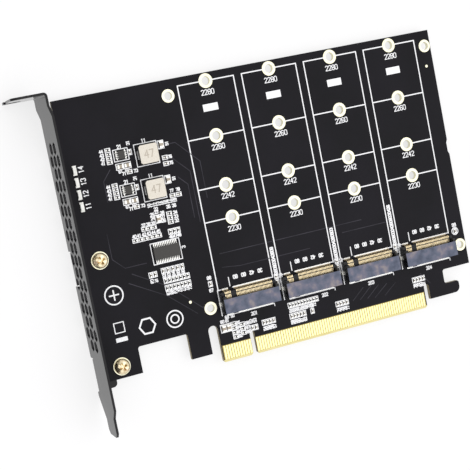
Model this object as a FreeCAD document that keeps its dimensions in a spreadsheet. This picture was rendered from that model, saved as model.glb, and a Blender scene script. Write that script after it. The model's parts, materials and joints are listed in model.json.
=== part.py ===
import FreeCAD, Part
import os
import re
import Sketcher
from FreeCAD import Placement, Rotation, Vector

# An adapter card that carries four solid state drives: a circuit board with an x16 edge connector,
# four M.2 sockets and their power and clock parts, on a full height slot bracket.
#
# Frame: X runs along the card away from the bracket, Y from the edge connector to the top edge, Z out
# of the component side.  On the board, x is measured from the middle of the connector's key notch,
# y from the connector's lower edge and z from the component face.  Every sub-part is then moved by
# the same step, which puts the origin at the bottom centre of the whole card's box.

SIZES = {
    # circuit board outline
    "board_thick": 1.57,        # laminate
    "board_left": 55.9,         # key notch to the end at the bracket
    "board_right": 93.9,        # key notch to the far end
    "board_top": 104.1,
    "shoulder": 12.8,           # lower edge of the far end
    "foot_low": 4.2,            # lower edge of the foot and the post
    "foot_inner": 43.2,         # key notch to the foot's inner side
    "notch_top": 13.7,          # top of the wide notch between foot and post
    "post_outer": 24.3,
    "post_inner": 16.3,
    "post_gap_top": 14.2,       # top of the slot between post and connector
    "key_wide": 1.9,
    "key_top": 8.8,
    "short_run": 11.65,         # connector length on the bracket side of the key
    "long_run": 71.65,          # connector length beyond the key
    "hook_gap": 2.1,            # slot between connector and retention hook
    "hook_gap_top": 8.9,
    "hook_throat": 81.8,        # inner end of the notch above the hook
    "hook_tip": 87.9,
    "hook_low": 2.9,
    "hook_high": 7.3,
    "hook_round": 2.2,
    "inner_round": 0.9,         # milled inner corners
    "corner_cut": 0.6,          # small bevels of the outer corners
    "bevel_rise": 0.9,          # lead-in bevel of the connector's lower edge
    "bevel_deep": 0.45,
    "nick_low": 56.0,           # shallow break-off scar on the far edge
    "nick_high": 61.5,
    "nick_deep": 0.5,
    # edge connector contacts
    "contact_pitch": 1.0,
    "contact_wide": 0.7,
    "contact_low": 1.0,
    "contact_high": 6.0,
    "contact_margin": 0.55,     # key notch side to the middle of the nearest contact
    "plating": 0.05,
    # drive places
    "slot_first": 1.3,          # middle of the first drive's place
    "slot_pitch": 25.0,
    "slot_datum": 21.1,         # where the drive's own front edge stops
    "row_short": 30.0,
    "row_low": 42.0,
    "row_mid": 60.0,
    "row_long": 80.0,
    "post_hole": 3.4,
    # holes for a cover or heatsink
    "cover_left": 13.7,
    "cover_right": 91.4,
    "cover_low": 20.6,
    "cover_high": 98.3,
    "cover_hole": 3.2,
    # M.2 socket
    "socket_rear": 3.4,         # behind the drive's front edge
    "socket_lip": 4.2,          # lower lip, ahead of the drive's front edge
    "socket_brow": 1.95,        # upper lip
    "socket_cheek": 3.0,        # end walls
    "socket_high": 4.2,
    "hold_thick": 0.25,         # solder clips at the socket's ends
    "hold_wide": 1.4,
    "hold_up": 1.5,
    "hold_foot": 0.35,
    "lip_high": 2.1,
    "mouth_high": 1.25,
    "cheek_thick": 1.1,
    "cheek_room": 0.475,        # outermost contact to the end cheek
    "card_stop": 0.15,
    "key_offset": 6.125,        # key rib from the socket's middle
    "rib_wide": 1.0,
    "pin_pitch": 0.5,
    "pin_wide": 0.25,
    "pin_thick": 0.15,
    "pin_foot": 0.7,
    "tail_up": 0.9,
    "pin_start": 0.3,           # card stop to the tip of a contact
    "pins_beyond_key": 5,
    "pins_before_key": 29,
    # bracket
    "sheet": 0.86,
    "plate_inner": 58.9,        # key notch to the bracket's inner face
    "plate_wide": 18.42,
    "plate_low": 4.02,          # long edge below the component face
    "plate_top": 106.8,
    "plate_tip": -13.2,
    "ear_deep": 11.43,
    "ear_notch": 4.42,
    "ear_notch_deep": 5.6,
    "ear_notch_z": 2.1,
    "ear_round": 1.6,
    "step_out": 0.86,           # joggle below the ear
    "step_start": 4.6,          # ear top to the joggle
    "step_long": 3.6,
    "bend_round": 0.5,
    "tongue_wide": 10.19,
    "tongue_low_cut": 5.1,      # low edge of the strip to the tongue
    "low_shoulder": -0.5,       # ends of the long taper on the low edge
    "low_neck": -8.0,
    "high_shoulder": -3.0,      # ends of the short taper on the high edge
    "high_neck": -6.3,
    "tongue_chamfer": 1.5,
    "vent_flat": 3.9,           # hexagonal holes across flats
    "vent_pitch": 5.2,
    "vent_row": 4.33,
    "vent_first": 18.75,        # lowest row of holes
    "vent_rows_of_two": 9,
    "vent_middle": 5.5,
    "screw_x": 50.3,            # key notch to the bracket screws
    "screw_low": 8.4,
    "screw_high": 46.7,
    "flap_root": 52.8,          # key notch to the end of the flap's wide part
    "flap_half": 4.3,
    "flap_reach": 3.6,          # screw to the flap's end
    "flap_up": 4.7,             # screw to the wide part's ends
    "flap_down": 6.9,
    "flap_corner": 1.5,
    "relief": 0.5,
    # bracket screws
    "thread": 3.0,
    "thread_room": 0.2,         # clearance in the board
    "tap_room": 0.05,           # clearance in the bracket's flap
    "screw_long": 3.95,
    "head_wide": 5.6,
    "head_high": 1.9,
    "recess_long": 3.0,
    "recess_wide": 0.8,
    "recess_deep": 1.0,
    # power inductors
    "coil_x": -25.75,
    "coil_low": 67.2,
    "coil_step": 12.6,          # between the two power stages
    "coil_long": 6.9,
    "coil_wide": 6.7,
    "coil_high": 3.0,
    "coil_foot": 0.15,          # body above the board
    "coil_corner": 0.6,
    "clip_wide": 3.0,
    "clip_thick": 0.15,
    "clip_under": 1.3,
    "clip_up": 1.6,
    # regulators
    "reg_x": -35.1,
    "reg_low": 68.7,
    "reg_long": 2.9,
    "reg_wide": 2.2,
    "reg_high": 0.95,
    # clock buffer
    "clock_x": -25.8,
    "clock_y": 44.45,
    "clock_long": 9.7,
    "clock_wide": 4.4,
    "clock_high": 1.0,
    "chip_lift": 0.1,           # package body above the board
    "lead_pitch": 0.65,
    "lead_wide": 0.25,
    "lead_thick": 0.15,
    "lead_reach": 1.0,
    "lead_foot": 0.6,
    "lead_high": 0.5,
    # status lamps
    "lamp_x": -52.6,
    "lamp_first": 66.25,
    "lamp_pitch": 4.3,
    "lamp_long": 3.2,
    "lamp_wide": 1.2,
    "lamp_high": 0.8,
    # small chip parts
    "small_long": 1.0,
    "small_wide": 0.5,
    "small_high": 0.5,
    "large_long": 2.0,
    "large_wide": 1.25,
    "large_high": 1.1,
}

doc = FreeCAD.newDocument("adapter_card")
table = doc.addObject("Spreadsheet::Sheet", "Sizes")
for line, (alias, size) in enumerate(SIZES.items(), start=1):
    table.set(f"A{line}", alias)
    table.set(f"B{line}", str(size))
    table.setAlias(f"B{line}", alias)
doc.recompute()


# ---------------------------------------------------------------- reading the sheet

def sized(text):
    """The same expression with each size pointed at the sheet."""
    return re.sub(r"[a-z][a-z_]*", lambda word: "Sizes." + word[0] if word[0] in SIZES else word[0], text)


def value(text):
    """What an expression comes to now."""
    return float(table.evalExpression(sized(text)))


# the whole card's box, which sets the step from board places to the part's own frame
CARD_MIDDLE_X = "(board_right - plate_inner - sheet - step_out - ear_deep) / 2"
CARD_MIDDLE_Y = "(plate_top + plate_tip) / 2"
CARD_BOTTOM_Z = "-plate_low"


def seat(part, x="0", y="0", z="0"):
    """Place a sub-part, given where its own origin lies on the board."""
    part.setExpression(".Placement.Base.x", sized(f"{x} - ({CARD_MIDDLE_X})"))
    part.setExpression(".Placement.Base.y", sized(f"{y} - ({CARD_MIDDLE_Y})"))
    part.setExpression(".Placement.Base.z", sized(f"{z} - ({CARD_BOTTOM_Z})"))


# ---------------------------------------------------------------- sketches and features

def new_body(label):
    body = doc.addObject("PartDesign::Body", label)
    body.Label = label
    return body


def origin_feature(body, role):
    return next(item for item in body.Origin.OriginFeatures if item.Role == role)


def new_sketch(body, name, plane, offset="0"):
    """An empty sketch on one of the body's own planes, moved along that plane's normal."""
    sketch = body.newObject("Sketcher::SketchObject", name)
    sketch.AttachmentSupport = (origin_feature(body, plane + "_Plane"), [""])
    sketch.MapMode = "FlatFace"
    sketch.setExpression(".AttachmentOffset.Base.z", sized(offset))
    return sketch


def bind(sketch, kind, *where, text):
    number = sketch.addConstraint(Sketcher.Constraint(kind, *where, value(text)))
    sketch.setExpression(f"Constraints[{number}]", sized(text))


def add_loop(sketch, corners):
    """A closed outline of straight lines, each corner pinned to the sheet."""
    points = [Vector(value(across), value(up), 0) for across, up in corners]
    first = sketch.GeometryCount
    count = len(points)
    for index, point in enumerate(points):
        sketch.addGeometry(Part.LineSegment(point, points[(index + 1) % count]), False)
    for index, (across, up) in enumerate(corners):
        here = first + index
        before = first + (index - 1) % count
        sketch.addConstraint(Sketcher.Constraint("Coincident", before, 2, here, 1))
        bind(sketch, "DistanceX", -1, 1, here, 1, text=across)
        bind(sketch, "DistanceY", -1, 1, here, 1, text=up)


def add_circle(sketch, across, up, diameter):
    middle = Vector(value(across), value(up), 0)
    number = sketch.addGeometry(Part.Circle(middle, Vector(0, 0, 1), value(diameter) / 2), False)
    bind(sketch, "DistanceX", -1, 1, number, 3, text=across)
    bind(sketch, "DistanceY", -1, 1, number, 3, text=up)
    bind(sketch, "Diameter", number, text=diameter)


def box_corners(left, right, low, high):
    return [(left, low), (right, low), (right, high), (left, high)]


def pad(body, name, sketch, length, down=False):
    feature = body.newObject("PartDesign::Pad", name)
    feature.Profile = sketch
    feature.Reversed = down
    feature.setExpression("Length", sized(length))
    return feature


def pocket(body, name, sketch, length=None, back=False):
    """A cut against the sketch's normal, or along it when back is set; right through with no length."""
    feature = body.newObject("PartDesign::Pocket", name)
    feature.Profile = sketch
    feature.Reversed = back
    if length is None:
        feature.Type = "ThroughAll"
    else:
        feature.setExpression("Length", sized(length))
    return feature


def row_of(body, name, feature, role, count, length):
    """Repeat a feature along one of the body's axes, count times over a length."""
    pattern = body.newObject("PartDesign::LinearPattern", name)
    pattern.Originals = [feature]
    pattern.Direction = (origin_feature(body, role), [""])
    pattern.setExpression("Occurrences", sized(count))
    pattern.setExpression("Length", sized(length))
    body.Tip = pattern
    return pattern


def edges_along(feature, axis, places, reach=0.01):
    """Names of the straight edges along an axis whose other two coordinates match a place."""
    wanted = [[value(text) for text in place] for place in places]
    names = []
    for number, edge in enumerate(feature.Shape.Edges, start=1):
        if len(edge.Vertexes) != 2 or not isinstance(edge.Curve, Part.Line):
            continue
        one, two = edge.Vertexes[0].Point, edge.Vertexes[1].Point
        others = [part for part in range(3) if part != axis]
        if any(abs(one[part] - two[part]) > reach for part in others):
            continue
        for place in wanted:
            if all(abs(one[part] - where) < reach for part, where in zip(others, place)):
                names.append(f"Edge{number}")
    return names


def dress_edges(body, name, kind, base, axis, places, measure, size):
    doc.recompute()
    names = edges_along(base, axis, places)
    if not names:
        raise ValueError(f"{name} finds no edge")
    feature = body.newObject("PartDesign::" + kind, name)
    feature.Base = (base, names)
    feature.setExpression(measure, sized(size))
    body.Tip = feature
    return feature


def round_edges(body, name, base, axis, places, radius):
    return dress_edges(body, name, "Fillet", base, axis, places, "Radius", radius)


def bevel_edges(body, name, base, axis, places, size):
    return dress_edges(body, name, "Chamfer", base, axis, places, "Size", size)


# ---------------------------------------------------------------- circuit board

CONNECTOR_LEFT = "-key_wide / 2 - short_run"
CONNECTOR_RIGHT = "key_wide / 2 + long_run"
HOOK_LEFT = CONNECTOR_RIGHT + " + hook_gap"
DRIVE_ROWS = ("row_short", "row_low", "row_mid", "row_long")
COVER_HOLES = [(x, y) for x in ("-cover_left", "cover_right") for y in ("cover_low", "cover_high")]
SCREW_ROWS = ("screw_low", "screw_high")


def circuit_board():
    """Laminate milled to the slot card outline, drilled and with its connector edge bevelled."""
    body = new_body("circuit_board")
    outline = new_sketch(body, "board_outline", "XY")
    add_loop(outline, [
        ("-board_left", "board_top"),
        ("board_right", "board_top"),
        ("board_right", "nick_high"),
        ("board_right - nick_deep", "nick_high - 2 * nick_deep"),
        ("board_right - nick_deep", "nick_low + 2 * nick_deep"),
        ("board_right", "nick_low"),
        ("board_right", "shoulder"),
        ("hook_throat", "shoulder"),
        ("hook_throat", "hook_high"),
        ("hook_tip", "hook_high"),
        ("hook_tip", "hook_low"),
        (HOOK_LEFT, "hook_low"),
        (HOOK_LEFT, "hook_gap_top"),
        (CONNECTOR_RIGHT, "hook_gap_top"),
        (CONNECTOR_RIGHT, "0"),
        ("key_wide / 2", "0"),
        ("key_wide / 2", "key_top"),
        ("-key_wide / 2", "key_top"),
        ("-key_wide / 2", "0"),
        (CONNECTOR_LEFT, "0"),
        (CONNECTOR_LEFT, "post_gap_top"),
        ("-post_inner", "post_gap_top"),
        ("-post_inner", "foot_low"),
        ("-post_outer", "foot_low"),
        ("-post_outer", "notch_top"),
        ("-foot_inner", "notch_top"),
        ("-foot_inner", "foot_low"),
        ("-board_left", "foot_low"),
    ])
    blank = pad(body, "laminate", outline, "board_thick", down=True)

    slots = {
        "key_notch": (("-key_wide / 2", "key_wide / 2"), "key_top", "key_wide * 0.49"),
        "post_slot": (("-post_inner", CONNECTOR_LEFT), "post_gap_top",
                      f"({CONNECTOR_LEFT} + post_inner) * 0.49"),
        "hook_slot": ((CONNECTOR_RIGHT, HOOK_LEFT), "hook_gap_top", "hook_gap * 0.49"),
    }
    for name, (sides, top, radius) in slots.items():
        blank = round_edges(body, name + "_end", blank, 2, [(side, top) for side in sides], radius)
    inner = [("-post_outer", "notch_top"), ("-foot_inner", "notch_top"),
             ("hook_throat", "shoulder"), ("hook_throat", "hook_high")]
    blank = round_edges(body, "inner_corners", blank, 2, inner, "inner_round")
    blank = round_edges(body, "hook_corner", blank, 2, [("hook_tip", "hook_low")], "hook_round")
    outer = [("hook_tip", "hook_high"), (CONNECTOR_LEFT, "0"), ("-key_wide / 2", "0"),
             ("key_wide / 2", "0"), (CONNECTOR_RIGHT, "0")]
    bevel_edges(body, "outer_corners", blank, 2, outer, "corner_cut")

    bevel = new_sketch(body, "bevel_profile", "YZ", CONNECTOR_RIGHT + " + hook_gap / 2")
    add_loop(bevel, [("-corner_cut", "0"), ("bevel_rise", "0"), ("0", "-bevel_deep"),
                     ("-corner_cut", "-bevel_deep")])
    add_loop(bevel, [("-corner_cut", "-board_thick"), ("-corner_cut", "bevel_deep - board_thick"),
                     ("0", "bevel_deep - board_thick"), ("bevel_rise", "-board_thick")])
    pocket(body, "connector_bevel", bevel)

    drive = new_sketch(body, "drive_hole_places", "XY")
    for row in DRIVE_ROWS:
        add_circle(drive, "slot_first", f"slot_datum + {row}", "post_hole")
    first_column = pocket(body, "drive_holes", drive)
    row_of(body, "drive_hole_columns", first_column, "X_Axis", "4", "3 * slot_pitch")
    cover = new_sketch(body, "cover_hole_places", "XY")
    for across, up in COVER_HOLES:
        add_circle(cover, across, up, "cover_hole")
    pocket(body, "cover_holes", cover)
    screws = new_sketch(body, "screw_hole_places", "XY")
    for row in SCREW_ROWS:
        add_circle(screws, "-screw_x", row, "thread + thread_room")
    pocket(body, "screw_holes", screws)
    seat(body)
    return body


def contact_row(body, name, left, count, face, down):
    """Plated contacts side by side on one face of the connector."""
    strip = new_sketch(body, name + "_outline", "XY", face)
    add_loop(strip, box_corners(f"{left} - contact_wide / 2", f"{left} + contact_wide / 2",
                                "contact_low", "contact_high"))
    first = pad(body, name + "_first", strip, "plating", down=down)
    row_of(body, name, first, "X_Axis", count, f"({count} - 1) * contact_pitch")


def edge_contacts(label, face, down):
    body = new_body(label)
    body.AllowCompound = True
    contact_row(body, "short_row", "-key_wide / 2 - contact_margin - 10 * contact_pitch", "11", face, down)
    contact_row(body, "long_row", "key_wide / 2 + contact_margin", "71", face, down)
    seat(body)
    return body


# ---------------------------------------------------------------- bracket

PLATE_OUTER = "-plate_inner - sheet"
EAR_TIP = PLATE_OUTER + " - step_out - ear_deep"
STEP_TOP = "plate_top - step_start"
STEP_END = STEP_TOP + " - step_long"
PLATE_HIGH = "plate_wide - plate_low"
FLAP_UNDER = "-board_thick - sheet"


def folded_strip(body):
    """The strip's side view, with its ear folded out and its joggle, across the full width."""
    side = new_sketch(body, "side_profile", "XY", "-plate_low")
    add_loop(side, [
        (EAR_TIP, "plate_top"),
        ("-plate_inner - step_out", "plate_top"),
        ("-plate_inner - step_out", STEP_TOP),
        ("-plate_inner", STEP_END),
        ("-plate_inner", "plate_tip"),
        (PLATE_OUTER, "plate_tip"),
        (PLATE_OUTER, STEP_END),
        (PLATE_OUTER + " - step_out", STEP_TOP),
        (PLATE_OUTER + " - step_out", "plate_top - sheet"),
        (EAR_TIP, "plate_top - sheet"),
    ])
    strip = pad(body, "strip", side, "plate_wide")
    strip = round_edges(body, "ear_bend_outside", strip, 2,
                        [("-plate_inner - step_out", "plate_top")], "bend_round + sheet")
    strip = round_edges(body, "ear_bend_inside", strip, 2,
                        [(PLATE_OUTER + " - step_out", "plate_top - sheet")], "bend_round")
    joggle = [("-plate_inner - step_out", STEP_TOP), ("-plate_inner", STEP_END),
              (PLATE_OUTER, STEP_END), (PLATE_OUTER + " - step_out", STEP_TOP)]
    strip = round_edges(body, "joggle_bends", strip, 2, joggle, "bend_round + sheet")
    corners = [(EAR_TIP, "-plate_low"), (EAR_TIP, PLATE_HIGH)]
    round_edges(body, "ear_corners", strip, 1, corners, "ear_round")


def tongue(body):
    """Both sides cut back to the narrow tongue that drops into the chassis."""
    cut = new_sketch(body, "tongue_sides", "YZ")
    edges = (("-plate_low", "-", "+", "tongue_low_cut", "low"),
             (PLATE_HIGH, "+", "-", "(plate_wide - tongue_wide - tongue_low_cut)", "high"))
    for edge, outward, inward, depth, name in edges:
        clear = f"{edge} {outward} sheet"
        add_loop(cut, [
            ("plate_tip - sheet", clear),
            (f"{name}_shoulder", clear),
            (f"{name}_shoulder", edge),
            (f"{name}_neck", f"{edge} {inward} {depth}"),
            ("plate_tip + tongue_chamfer", f"{edge} {inward} {depth}"),
            ("plate_tip", f"{edge} {inward} ({depth} + tongue_chamfer)"),
            ("plate_tip - sheet", f"{edge} {inward} ({depth} + tongue_chamfer)"),
        ])
    pocket(body, "tongue_cut", cut)


def ear_notch(body):
    """The open notch that the chassis screw passes through."""
    end = EAR_TIP + " + ear_notch_deep"
    sides = ("ear_notch_z - ear_notch / 2", "ear_notch_z + ear_notch / 2")
    mark = new_sketch(body, "ear_notch_outline", "XZ", "3 * sheet - plate_top")
    add_loop(mark, box_corners(EAR_TIP + " - sheet", end, *sides))
    cut = pocket(body, "ear_notch_cut", mark)
    round_edges(body, "ear_notch_end", cut, 1, [(end, edge) for edge in sides], "ear_notch * 0.49")


def vent_row(body, name, up, across, count):
    """One row of hexagonal holes, a point at each end, repeated at every second row."""
    half_side = "vent_flat / (2 * sqrt(3))"
    row = new_sketch(body, name + "_outline", "YZ", "sheet - plate_inner")
    for middle in across:
        add_loop(row, [
            (f"{up} - 2 * {half_side}", middle),
            (f"{up} - {half_side}", f"{middle} - vent_flat / 2"),
            (f"{up} + {half_side}", f"{middle} - vent_flat / 2"),
            (f"{up} + 2 * {half_side}", middle),
            (f"{up} + {half_side}", f"{middle} + vent_flat / 2"),
            (f"{up} - {half_side}", f"{middle} + vent_flat / 2"),
        ])
    first = pocket(body, name + "_first", row)
    row_of(body, name, first, "Y_Axis", count, f"({count} - 1) * 2 * vent_row")


def mounting_flap(body, name, row):
    """A flap lanced from the strip's edge and folded behind the board, tapped for the screw."""
    low, high = f"{row} - flap_down", f"{row} + flap_up"
    slot_top = "bend_round - board_thick"
    edge = new_sketch(body, name + "_relief_outline", "YZ", "sheet - plate_inner")
    add_loop(edge, [
        (f"{low} - relief", "-plate_low - sheet"),
        (f"{high} + relief", "-plate_low - sheet"),
        (f"{high} + relief", slot_top),
        (high, slot_top),
        (high, FLAP_UNDER),
        (low, FLAP_UNDER),
        (low, slot_top),
        (f"{low} - relief", slot_top),
    ])
    pocket(body, name + "_relief", edge)
    tip = "flap_reach - screw_x"
    outline = new_sketch(body, name + "_outline", "XY", "-board_thick")
    add_loop(outline, [
        (PLATE_OUTER, low),
        ("-flap_root", low),
        ("-flap_root", f"{row} - flap_half"),
        (tip, f"{row} - flap_half"),
        (tip, f"{row} + flap_half"),
        ("-flap_root", f"{row} + flap_half"),
        ("-flap_root", high),
        (PLATE_OUTER, high),
    ])
    flap = pad(body, name, outline, "sheet", down=True)
    ends = [(tip, f"{row} - flap_half"), (tip, f"{row} + flap_half")]
    flap = bevel_edges(body, name + "_tip", flap, 2, ends, "flap_corner")
    flap = round_edges(body, name + "_root", flap, 2, [("-flap_root", low)], "flap_corner")
    round_edges(body, name + "_bend", flap, 1, [(PLATE_OUTER, FLAP_UNDER)], "bend_round")
    hole = new_sketch(body, name + "_hole_place", "XY", "-board_thick / 2")
    add_circle(hole, "-screw_x", row, "thread + tap_room")
    pocket(body, name + "_hole", hole)


def bracket():
    """Full height slot bracket, folded from one strip of steel."""
    body = new_body("bracket")
    folded_strip(body)
    tongue(body)
    ear_notch(body)
    two = ("vent_middle - vent_pitch / 2", "vent_middle + vent_pitch / 2")
    three = ("vent_middle - vent_pitch", "vent_middle", "vent_middle + vent_pitch")
    vent_row(body, "vents_two", "vent_first", two, "vent_rows_of_two")
    vent_row(body, "vents_three", "vent_first + vent_row", three, "vent_rows_of_two - 1")
    mounting_flap(body, "lower_flap", "screw_low")
    mounting_flap(body, "upper_flap", "screw_high")
    seat(body)
    return body


def bracket_screws():
    """Two pan head machine screws through the board into the flaps, with crossed recesses."""
    body = new_body("bracket_screws")
    body.AllowCompound = True
    profile = new_sketch(body, "screw_profile", "XZ")
    add_loop(profile, [
        ("0", "head_high"),
        ("head_wide / 2", "head_high"),
        ("head_wide / 2", "0"),
        ("thread / 2", "0"),
        ("thread / 2", "-screw_long"),
        ("0", "-screw_long"),
    ])
    turned = body.newObject("PartDesign::Revolution", "screw")
    turned.Profile = profile
    turned.ReferenceAxis = (profile, ["V_Axis"])
    turned.Angle = 360
    arm, half = "recess_long / 2", "recess_wide / 2"
    cross = new_sketch(body, "recess_outline", "XY", "head_high")
    add_loop(cross, [
        (arm, f"-{half}"), (arm, half), (half, half), (half, arm), (f"-{half}", arm), (f"-{half}", half),
        (f"-{arm}", half), (f"-{arm}", f"-{half}"), (f"-{half}", f"-{half}"), (f"-{half}", f"-{arm}"),
        (half, f"-{arm}"), (half, f"-{half}"),
    ])
    recess = pocket(body, "recess", cross, "recess_deep")
    doc.recompute()
    pair = row_of(body, "screw_pair", turned, "Y_Axis", "2", "screw_high - screw_low")
    pair.Originals = [turned, recess]
    seat(body, "-screw_x", "screw_low")
    return body


# ---------------------------------------------------------------- M.2 sockets

MOUTH_TOP = "lip_high + mouth_high"
FRONT_PINS = "-key_offset - 6.25 * pin_pitch"
REAR_PINS = "-key_offset - 5.75 * pin_pitch"
HALF_SOCKET = "(key_offset + 6.25 * pin_pitch + pin_wide / 2 + cheek_room + cheek_thick)"


def socket_place(index):
    return f"slot_first + {index} * slot_pitch", "slot_datum"


def across_block(body, name, left, length, corners):
    """A profile seen from the socket's end, carried along the socket."""
    sketch = new_sketch(body, name + "_profile", "YZ", left)
    add_loop(sketch, corners)
    return pad(body, name, sketch, length)


def socket_housing(index):
    """Moulded housing: lower lip, back wall, brow, end cheeks and the rib that fits the drive's key."""
    body = new_body(f"m2_socket_{index + 1}")
    end, length = "-" + HALF_SOCKET, "2 * " + HALF_SOCKET
    across_block(body, "lower_half", end, length, [
        ("-socket_rear", "0"), ("socket_lip", "0"), ("socket_lip", "lip_high"), ("-card_stop", "lip_high"),
        ("-card_stop", MOUTH_TOP), ("-socket_rear", MOUTH_TOP),
    ])
    cheek = box_corners("-socket_rear", "socket_cheek", "0", "socket_high")
    across_block(body, "left_cheek", end, "cheek_thick", cheek)
    across_block(body, "right_cheek", HALF_SOCKET + " - cheek_thick", "cheek_thick", cheek)
    across_block(body, "key_rib", "-key_offset - rib_wide / 2", "rib_wide",
                 box_corners("-socket_rear", "socket_brow", "lip_high", "socket_high"))
    brow = box_corners("-socket_rear", "socket_brow", MOUTH_TOP, "socket_high")
    across_block(body, "brow", end, length, brow)
    seat(body, *socket_place(index))
    return body


def contact_comb(label, index, first, before_key, corners):
    """One row of spring contacts: a short group beyond the key and a long group before it."""
    body = new_body(label)
    body.AllowCompound = True
    groups = (("beyond_key", first, "pins_beyond_key"),
              ("before_key", f"{first} + 9 * pin_pitch", before_key))
    for name, start, count in groups:
        pin = across_block(body, name + "_first", f"{start} - pin_wide / 2", "pin_wide", corners)
        row_of(body, name, pin, "X_Axis", count, f"({count} - 1) * pin_pitch")
    seat(body, *socket_place(index))
    return body


def front_contacts(index):
    """Lower contacts lie on the lip, turn down its front and end in feet on the board."""
    corners = [
        ("pin_start", "lip_high"), ("socket_lip", "lip_high"), ("socket_lip", "0"),
        ("socket_lip + pin_foot", "0"), ("socket_lip + pin_thick", "lip_high + pin_thick"),
        ("pin_start", "lip_high + pin_thick"),
    ]
    return contact_comb(f"m2_front_contacts_{index + 1}", index, FRONT_PINS, "pins_before_key", corners)


def rear_contacts(index):
    """Tails of the upper contacts, which leave the housing's back and end on the board."""
    corners = [
        ("-socket_rear - pin_foot", "0"), ("-socket_rear", "0"), ("-socket_rear", "tail_up"),
        ("-socket_rear - pin_thick", "tail_up"),
    ]
    return contact_comb(f"m2_rear_contacts_{index + 1}", index, REAR_PINS, "pins_before_key - 1", corners)


def hold_downs(index):
    """Solder clips against the socket's ends."""
    body = new_body(f"m2_hold_downs_{index + 1}")
    body.AllowCompound = True
    sketch = new_sketch(body, "clip_profiles", "XZ", "-hold_wide / 2")
    for sign in ("-", ""):
        face = sign + HALF_SOCKET
        outside = f"{sign}({HALF_SOCKET} + hold_thick)"
        foot = f"{sign}({HALF_SOCKET} + hold_thick + hold_foot)"
        add_loop(sketch, [(face, "0"), (foot, "0"), (foot, "hold_thick"), (outside, "hold_thick"),
                          (outside, "hold_up"), (face, "hold_up")])
    pad(body, "clips", sketch, "hold_wide")
    seat(body, *socket_place(index))
    return body


# ---------------------------------------------------------------- power stages and clock buffer

def power_coil(index):
    """Moulded power inductor: a square block lifted by the clips under it."""
    body = new_body(f"inductor_{index + 1}")
    base = new_sketch(body, "block_outline", "XY", "coil_foot")
    add_loop(base, box_corners("-coil_long / 2", "coil_long / 2", "-coil_wide / 2", "coil_wide / 2"))
    block = pad(body, "block", base, "coil_high - coil_foot")
    corners = [(x, y) for x in ("-coil_long / 2", "coil_long / 2")
               for y in ("-coil_wide / 2", "coil_wide / 2")]
    bevel_edges(body, "block_corners", block, 2, corners, "coil_corner")
    seat(body, "coil_x", f"coil_low + {index} * coil_step")
    return body


def coil_clips(index):
    """Terminals folded from the block's ends to its underside."""
    body = new_body(f"inductor_terminals_{index + 1}")
    body.AllowCompound = True
    sketch = new_sketch(body, "clip_profiles", "XZ", "-clip_wide / 2")
    for sign in ("-", ""):
        outside = f"{sign}(coil_long / 2 + clip_thick)"
        face = f"{sign}(coil_long / 2)"
        under = f"{sign}(coil_long / 2 - clip_under)"
        add_loop(sketch, [(outside, "0"), (under, "0"), (under, "coil_foot"), (face, "coil_foot"),
                          (face, "clip_up"), (outside, "clip_up")])
    pad(body, "clips", sketch, "clip_wide")
    seat(body, "coil_x", f"coil_low + {index} * coil_step")
    return body


def chip_body(label, long_side, short_side, high, place, turn):
    """Moulded package, long side along its own X, with the leads on its other two sides."""
    body = new_body(label)
    outline = new_sketch(body, "package_outline", "XY", "chip_lift")
    add_loop(outline, box_corners(f"-{long_side} / 2", f"{long_side} / 2",
                                  f"-{short_side} / 2", f"{short_side} / 2"))
    pad(body, "package", outline, f"{high} - chip_lift")
    body.Placement = Placement(Vector(), Rotation(Vector(0, 0, 1), turn))
    seat(body, *place)
    return body


def chip_leads(label, short_side, count, place, turn):
    """Gull wing leads in two rows."""
    body = new_body(label)
    body.AllowCompound = True
    first = f"-({count} - 1) / 2 * lead_pitch"
    sketch = new_sketch(body, "lead_profiles", "YZ", f"{first} - lead_wide / 2")
    for sign in ("-", ""):
        steps = [("0", "lead_high - lead_thick"), ("lead_reach - lead_foot", "0"), ("lead_reach", "0"),
                 ("lead_reach", "lead_thick"), ("lead_reach - lead_foot + lead_thick", "lead_thick"),
                 ("0", "lead_high")]
        add_loop(sketch, [(f"{sign}({short_side} / 2 + {out})", up) for out, up in steps])
    pair = pad(body, "first_pair", sketch, "lead_wide")
    row_of(body, "lead_rows", pair, "X_Axis", count, f"({count} - 1) * lead_pitch")
    body.Placement = Placement(Vector(), Rotation(Vector(0, 0, 1), turn))
    seat(body, *place)
    return body


def status_lamp(index):
    """Surface mount lamp: a base with a narrower lens on it."""
    body = new_body(f"status_lamp_{index + 1}")
    base = new_sketch(body, "base_outline", "XY")
    add_loop(base, box_corners("-lamp_wide / 2", "lamp_wide / 2", "-lamp_long / 2", "lamp_long / 2"))
    pad(body, "base", base, "lamp_high / 2")
    lens = new_sketch(body, "lens_outline", "XY", "lamp_high / 2")
    add_loop(lens, box_corners("-lamp_wide / 2", "lamp_wide / 2", "-lamp_long / 3", "lamp_long / 3"))
    pad(body, "lens", lens, "lamp_high / 2")
    seat(body, "lamp_x", f"lamp_first + {index} * lamp_pitch")
    return body


# ---------------------------------------------------------------- small chip parts

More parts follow.
